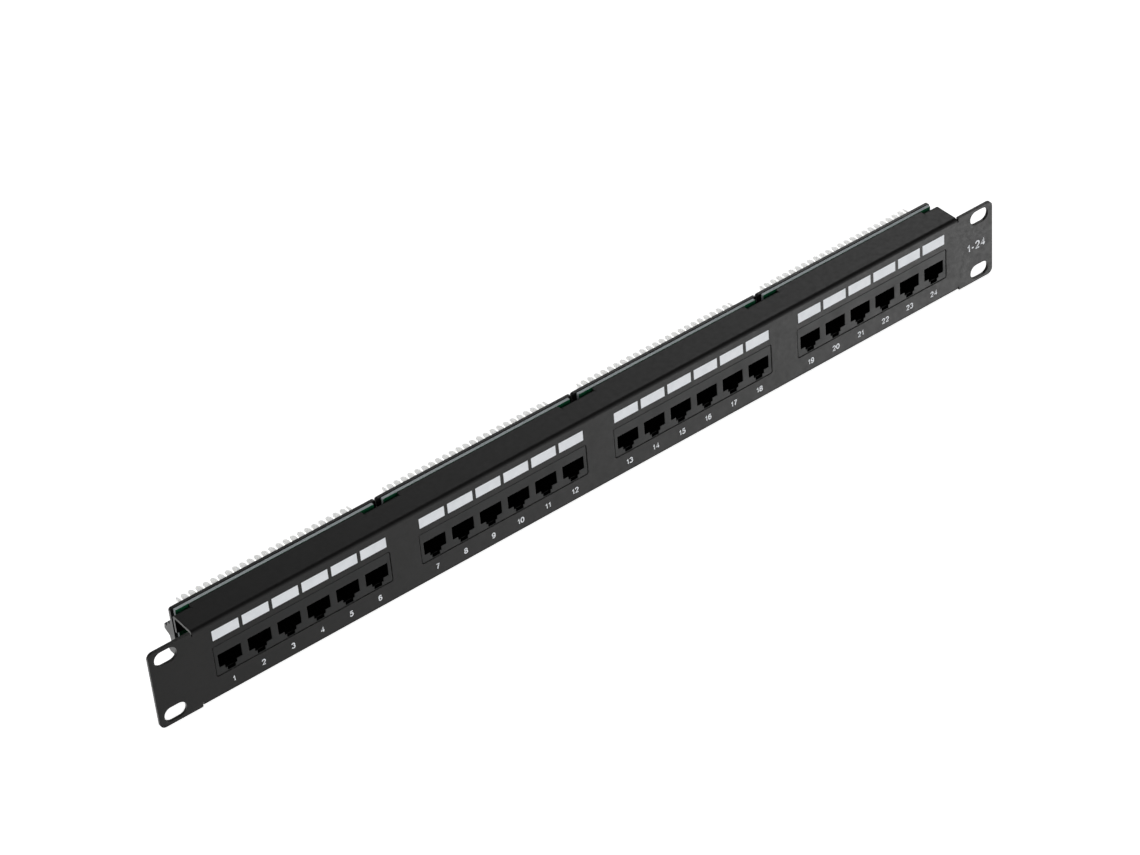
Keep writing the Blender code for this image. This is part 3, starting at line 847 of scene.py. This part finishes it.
def make_strip():
    """One strip lying between z = 0 and its height, with a blade in every slit."""
    slits = [(k - (SLIT_COUNT - 1) / 2) * SLIT_PITCH for k in range(SLIT_COUNT)]
    edges = [slits[0] - SLIT / 2 - END_TOOTH]
    for x in slits:
        edges += [x - SLIT / 2, x + SLIT / 2]
    edges.append(slits[-1] + SLIT / 2 + END_TOOTH)
    outline = [(edges[0], STRIP_FRONT), (edges[-1], STRIP_FRONT)]
    spans = list(zip(edges[0::2], edges[1::2]))
    for k in reversed(range(len(spans))):
        left, right = spans[k]
        if k < len(spans) - 1:
            outline.append((right, SLIT_FLOOR))
        outline += tooth(left, right)
        if k:
            outline.append((left, SLIT_FLOOR))
    high = STRIP_HIGH - STRIP_LOW
    rows = [(level(outline, 0.0, high, 0.14 * MM), NATURAL, HERE)]
    blade = brick((-BLADE_HALF, SLIT_FLOOR - 0.3 * MM, BLADE_INSET),
                  (BLADE_HALF, TOOTH_SHOULDER - 1.6 * MM, high - BLADE_INSET), SMALL_ROUND)
    for x in slits:
        rows.append((blade, TIN, shift(x)))
    return joined(rows)


# ---------------------------------------------------------------- rear covers
END_PROFILE = [
    (RIDGE_ROOT, 14.3 * MM), (18.9 * MM, 14.2 * MM), (19.7 * MM, 13.4 * MM),
    (20.1 * MM, 11.0 * MM), (21.3 * MM, 11.9 * MM), (22.5 * MM, 10.7 * MM),
    (23.1 * MM, 8.0 * MM), (24.2 * MM, 9.1 * MM), (25.2 * MM, 8.2 * MM), (25.8 * MM, 5.1 * MM),
    (22.0 * MM, 3.3 * MM), (21.7 * MM, 1.2 * MM), (21.7 * MM, -2.4 * MM), (25.6 * MM, -3.8 * MM),
    (25.6 * MM, -5.6 * MM), (24.2 * MM, -7.2 * MM), (RIDGE_ROOT, -7.2 * MM),
]
MIDDLE_PROFILE = [(RIDGE_ROOT, WINDOW_NEAR), (24.98 * MM, WINDOW_NEAR)]
MIDDLE_PROFILE += END_PROFILE[8:]


def make_cover(left, right):
    """One cover, its plate reaching left and right of the module's centre."""
    outline = rounded_rectangle(-left, right, -COVER_HALF_Z, COVER_HALF_Z, COVER_CORNER, 6)
    loops = [outline, circle(-SCREW_X, SCREW_Z, SCREW_HOLE), circle(SCREW_X, -SCREW_Z, SCREW_HOLE)]
    for low in (WINDOW_NEAR, -WINDOW_FAR):
        high = low + WINDOW_FAR - WINDOW_NEAR
        loops.append(rounded_rectangle(-WINDOW_HALF, WINDOW_HALF, low, high, 0.4 * MM, 3))
    plate = upright(loops, COVER_FRONT, COVER_REAR, 0.2 * MM)
    rows = [(plate, COVER_BLACK, HERE)]
    middle = section(eased(MIDDLE_PROFILE, RIDGE_ROUND), -WINDOW_HALF - 0.2 * MM,
                     WINDOW_HALF + 0.2 * MM, 0.1 * MM)
    rows.append((middle, COVER_BLACK, HERE))
    end = section(eased(END_PROFILE, RIDGE_ROUND), WINDOW_HALF, RIDGE_HALF, EDGE_ROUND)
    rows.append((end, COVER_BLACK, HERE))
    rows.append((end, COVER_BLACK, shift(-WINDOW_HALF - RIDGE_HALF)))
    return joined(rows)


# ---------------------------------------------------------------- cover screws
def make_screw():
    """Pan-head screw with a cross recess, its head towards +Y."""
    seat = COVER_REAR + CLEAR
    top = seat + SCREW_HEAD_HIGH
    profile = [(0.0, SCREW_TIP), (SCREW_SHANK * 0.5, SCREW_TIP + 0.5 * MM),
               (SCREW_SHANK, SCREW_TIP + 1.4 * MM), (SCREW_SHANK, seat), (SCREW_HEAD, seat),
               (SCREW_HEAD, seat + SCREW_RIM)]
    for k in range(1, 9):
        turn = pi / 2 * k / 8
        profile.append((SCREW_HEAD * (0.25 + 0.75 * cos(turn)),
                        seat + SCREW_RIM + (SCREW_HEAD_HIGH - SCREW_RIM) * sin(turn)))
    profile.append((0.0, top))
    mesh = bpy.data.meshes.new("screw")
    work = bmesh.new()
    steps = 40
    rings = []
    for radius, height in profile:
        if radius == 0.0:
            rings.append([work.verts.new((0.0, height, 0.0))])
            continue
        rings.append([
            work.verts.new((radius * cos(2 * pi * k / steps), height, radius * sin(2 * pi * k / steps)))
            for k in range(steps)
        ])
    for first, second in zip(rings, rings[1:]):
        for k in range(steps):
            a, b = first[k % len(first)], first[(k + 1) % len(first)]
            c, d = second[(k + 1) % len(second)], second[k % len(second)]
            work.faces.new([v for i, v in enumerate((a, b, c, d)) if v not in (a, b, c, d)[:i]])
    bmesh.ops.recalc_face_normals(work, faces=work.faces)
    work.to_mesh(mesh)
    work.free()
    head = bpy.data.objects.new("screw", mesh)
    SCENE.collection.objects.link(head)
    cutters = []
    for k in range(2):
        wide, thin = SCREW_HEAD * 0.56, SCREW_HEAD * 0.15
        bar = brick((-wide, top - 0.9 * MM, -thin), (wide, top + MM, thin), FINE_ROUND)
        bar.transform(Matrix.Rotation(radians(90 * k + 20), 4, "Y"))
        cutter = bpy.data.objects.new("bar", bar)
        SCENE.collection.objects.link(cutter)
        cutters.append(cutter)
        cut = head.modifiers.new("recess", "BOOLEAN")
        cut.operation = "DIFFERENCE"
        cut.solver = "EXACT"
        cut.object = cutter
    depsgraph = bpy.context.evaluated_depsgraph_get()
    done = bpy.data.meshes.new_from_object(head.evaluated_get(depsgraph))
    for extra in (head, *cutters):
        bpy.data.objects.remove(extra)
    if "rim" not in done.attributes:
        done.attributes.new("rim", "FLOAT", "POINT")
    return done


# ---------------------------------------------------------------- printed marks
def bow(cx, cy, rx, ry, start, end, steps=12):
    """Points on an ellipse's arc, angles in degrees."""
    turn = [radians(start + (end - start) * k / steps) for k in range(steps + 1)]
    return [(cx + rx * cos(a), cy + ry * sin(a)) for a in turn]


# Middle lines of plain sans figures, 1 high over the middle lines; width and strokes of each
FIGURES = {
    "0": (0.62, [bow(0.31, 0.5, 0.29, 0.5, 90, 450, 28)]),
    "1": (0.40, [[(0.06, 0.70), (0.20, 0.80), (0.31, 1.0), (0.31, 0.0)]]),
    "2": (0.62, [bow(0.31, 0.70, 0.28, 0.30, 170, -35, 14) + [(0.04, 0.0), (0.60, 0.0)]]),
    "3": (0.62, [bow(0.30, 0.755, 0.25, 0.245, 165, -80, 14),
                 bow(0.30, 0.27, 0.29, 0.27, 82, -165, 14)]),
    "4": (0.66, [[(0.47, 0.0), (0.47, 1.0), (0.03, 0.27), (0.64, 0.27)]]),
    "5": (0.62, [[(0.56, 1.0), (0.14, 1.0), (0.09, 0.55)]
                 + bow(0.30, 0.33, 0.29, 0.33, 130, -160, 16)]),
    "6": (0.62, [bow(0.34, 0.62, 0.29, 0.38, 40, 180, 10) + bow(0.32, 0.31, 0.27, 0.31, 180, -180, 22)]),
    "7": (0.60, [[(0.04, 1.0), (0.57, 1.0), (0.40, 0.68), (0.27, 0.34), (0.22, 0.0)]]),
    "8": (0.62, [bow(0.31, 0.76, 0.24, 0.24, 90, 450, 22), bow(0.31, 0.26, 0.29, 0.26, 90, 450, 24)]),
    "9": (0.62, [bow(0.28, 0.38, 0.29, 0.38, 220, 360, 10) + bow(0.30, 0.69, 0.27, 0.31, 0, 360, 22)]),
    "-": (0.40, [[(0.04, 0.38), (0.36, 0.38)]]),
}
FIGURE_GAP = 0.26


def figures_mesh(words, high, stroke):
    """Printed figures that tall, their middle at the origin of (x, z), on the front face."""
    scale = high - stroke
    width = sum(FIGURES[mark][0] for mark in words) + FIGURE_GAP * (len(words) - 1)
    curve = rod("figures", stroke / 2, 3)
    pen = -width / 2
    for mark in words:
        advance, strokes = FIGURES[mark]
        for points in strokes:
            draw(curve, [((pen + u) * scale, (v - 0.5) * scale, 0.0) for u, v in points])
        pen += advance + FIGURE_GAP
    mesh = from_curve(curve)
    mesh.transform(Matrix.Diagonal((1.0, 1.0, 2 * INK / stroke, 1.0)))
    mesh.transform(Matrix.Translation((0, FRONT_Y, 0)) @ STAND_UP)
    mesh.attributes.new("rim", "FLOAT", "POINT")
    return mesh


SOCKET_X = [module + port for module in HOUSING_X for port in PORT_X]
MARK_X = [module + port for module in MODULE_X for port in PORT_X]


def make_fields():
    rows = []
    w, h = MARK_HALF
    field = upright([rounded_rectangle(-w, w, -h, h, 0.15 * MM, 3)], FRONT_Y - INK, FRONT_Y)
    for x in MARK_X:
        rows.append((field, INK_WHITE, shift(x + MARK_SHIFT, 0, MARK_Z)))
    return joined(rows)


def make_numerals():
    rows = []
    for k, x in enumerate(MARK_X):
        words = str(k + 1)
        rows.append((figures_mesh(words, NUMERAL_HIGH, NUMERAL_STROKE), INK_WHITE,
                     shift(x + NUMERAL_SHIFT[len(words)], 0, NUMERAL_Z)))
    return joined(rows)


# ---------------------------------------------------------------- assembly
place("front_sheet", make_sheet(), ["front_panel"], "powder_coat", look=COAT)
housing = make_housing()
board, pads = make_board()
strip = make_strip()
covers = [
    make_cover(COVER_OUTER, COVER_INNER), make_cover(COVER_INNER, COVER_INNER),
    make_cover(COVER_INNER, COVER_INNER), make_cover(COVER_INNER, COVER_OUTER),
]
contacts = make_contacts()
screw = make_screw()
flip = strip.copy()
for vertex in flip.vertices:
    vertex.co.z = -vertex.co.z
flip.flip_normals()
strip.transform(shift(0, 0, STRIP_LOW))
flip.transform(shift(0, 0, -STRIP_LOW))
for index, middle_x in enumerate(MODULE_X):
    number = index + 1
    place(f"socket_block_{number}", housing, [f"jack_housing_{number}"], "black_plastic",
          HOUSING_X[index])
    place(f"board_{number}", board, [f"circuit_board_{number}"], "green_board", middle_x,
          smooth=False)
    place(f"board_pads_{number}", pads, (), "zinc_plate", middle_x, smooth=False)
    place(f"upper_strip_{number}", strip, [f"idc_strip_upper_{number}"], "ivory_plastic", middle_x)
    place(f"lower_strip_{number}", flip, [f"idc_strip_lower_{number}"], "ivory_plastic", middle_x)
    place(f"back_cover_{number}", covers[index], [f"rear_cover_{number}"], "black_plastic",
          middle_x)
for index, socket_x in enumerate(SOCKET_X):
    place(f"contact_set_{index + 1:02d}", contacts, [f"jack_contacts_{index + 1:02d}"],
          "contact_carrier", socket_x)
for index, (screw_x, screw_z) in enumerate(screw_places()):
    piece = place(f"pan_screw_{index + 1}", screw, (), "zinc_plate", screw_x, look=ZINC)
    piece.location.z = screw_z
    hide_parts(f"cover_screw_{index + 1}")
place("marking_fields", make_fields(), (), None, smooth=False)
place("socket_numerals", make_numerals(), (), None, smooth=False)
place("ear_numerals", figures_mesh("1-24", EAR_MARK_HIGH, EAR_MARK_STROKE), (), None, EAR_MARK_X,
      look=INK_WHITE, smooth=False)


# ---------------------------------------------------------------- stage and light
FLOOR_HALF = 3.0
FLOOR_GAP = 0.2 * MM


def add_floor():
    half = FLOOR_HALF
    mesh = bpy.data.meshes.new("floor")
    mesh.from_pydata(
        [(-half, -half, 0), (half, -half, 0), (half, half, 0), (-half, half, 0)],
        [], [(0, 1, 2, 3)],
    )
    material = bpy.data.materials.new("floor")
    material.use_nodes = True
    shader = material.node_tree.nodes["Principled BSDF"]
    shader.inputs["Base Color"].default_value = (0.9, 0.9, 0.9, 1.0)
    shader.inputs["Roughness"].default_value = 0.9
    shader.inputs["Specular IOR Level"].default_value = 0.0
    shader.inputs["Emission Color"].default_value = (1.0, 1.0, 1.0, 1.0)
    shader.inputs["Emission Strength"].default_value = 0.9
    mesh.materials.append(material)
    floor = bpy.data.objects.new("floor", mesh)
    SCENE.collection.objects.link(floor)
    floor.location.z = cad_low.z - FLOOR_GAP
    floor.visible_diffuse = False
    floor.visible_glossy = False
    floor.visible_shadow = False


def add_area(name, position, size, power, aim):
    """A round soft lamp turned towards a point."""
    data = bpy.data.lights.new(name, "AREA")
    data.shape = "DISK"
    data.size = size
    data.energy = power
    lamp = bpy.data.objects.new(name, data)
    SCENE.collection.objects.link(lamp)
    lamp.location = position
    direction = Vector(aim) - Vector(position)
    lamp.rotation_mode = "QUATERNION"
    lamp.rotation_quaternion = direction.to_track_quat("-Z", "Y")
    lamp.visible_camera = False


def add_world(lobes, even):
    """White behind the object; for its lighting, broad soft lobes of sky."""
    world = bpy.data.worlds.new("studio")
    SCENE.world = world
    world.use_nodes = True
    tree = world.node_tree
    tree.nodes.clear()
    out = tree.nodes.new("ShaderNodeOutputWorld")
    place_in_sky = tree.nodes.new("ShaderNodeTexCoord").outputs["Generated"]

    def maths(operation, first, second):
        node = tree.nodes.new("ShaderNodeMath")
        node.operation = operation
        for socket, value in zip(node.inputs, (first, second)):
            if isinstance(value, bpy.types.NodeSocket):
                tree.links.new(value, socket)
            else:
                socket.default_value = value
        return node.outputs["Value"]

    total = even
    for axis, power, strength in lobes:
        dot = tree.nodes.new("ShaderNodeVectorMath")
        dot.operation = "DOT_PRODUCT"
        tree.links.new(place_in_sky, dot.inputs[0])
        dot.inputs[1].default_value = Vector(axis).normalized()
        lobe = maths("POWER", maths("MAXIMUM", dot.outputs["Value"], 0.0), power)
        total = maths("ADD", maths("MULTIPLY", lobe, strength), total)
    seen = tree.nodes.new("ShaderNodeLightPath").outputs["Is Camera Ray"]
    strength = maths("ADD", maths("MULTIPLY", total, maths("SUBTRACT", 1.0, seen)), seen)
    glow = tree.nodes.new("ShaderNodeBackground")
    glow.inputs["Color"].default_value = (1.0, 1.0, 1.0, 1.0)
    tree.links.new(strength, glow.inputs["Strength"])
    tree.links.new(glow.outputs["Background"], out.inputs["Surface"])


SCENE.view_settings.view_transform = "Standard"
add_floor()
# Each lobe of sky: direction, sharpness, strength
add_world([
    ((0.0, -1.0, 0.1), 6.0, 0.92),
    ((-0.7, -0.7, 0.15), 8.0, 0.25),
    ((-0.35, -0.93, 0.0), 6.0, 0.78),
    ((0.40, -0.91, -0.06), 20.0, 0.95),
    ((0.60, -0.58, -0.55), 40.0, 4.7),
    ((0.76, -0.48, -0.44), 30.0, 1.1),
    ((0.60, 0.58, 0.55), 40.0, 3.1),
    ((-0.44, 0.65, -0.62), 8.0, 1.8),
    ((0.44, 0.65, -0.62), 8.0, 1.2),
    ((-0.55, 0.72, 0.42), 6.0, 0.5),
], 0.06)
right_end = (0.24, 0.0, 0.0)
add_area("low_right", (0.75, -0.55, -0.50), 0.40, 0.74, right_end)
add_area("top_right", (0.50, 0.30, 0.32), 0.25, 0.066, right_end)
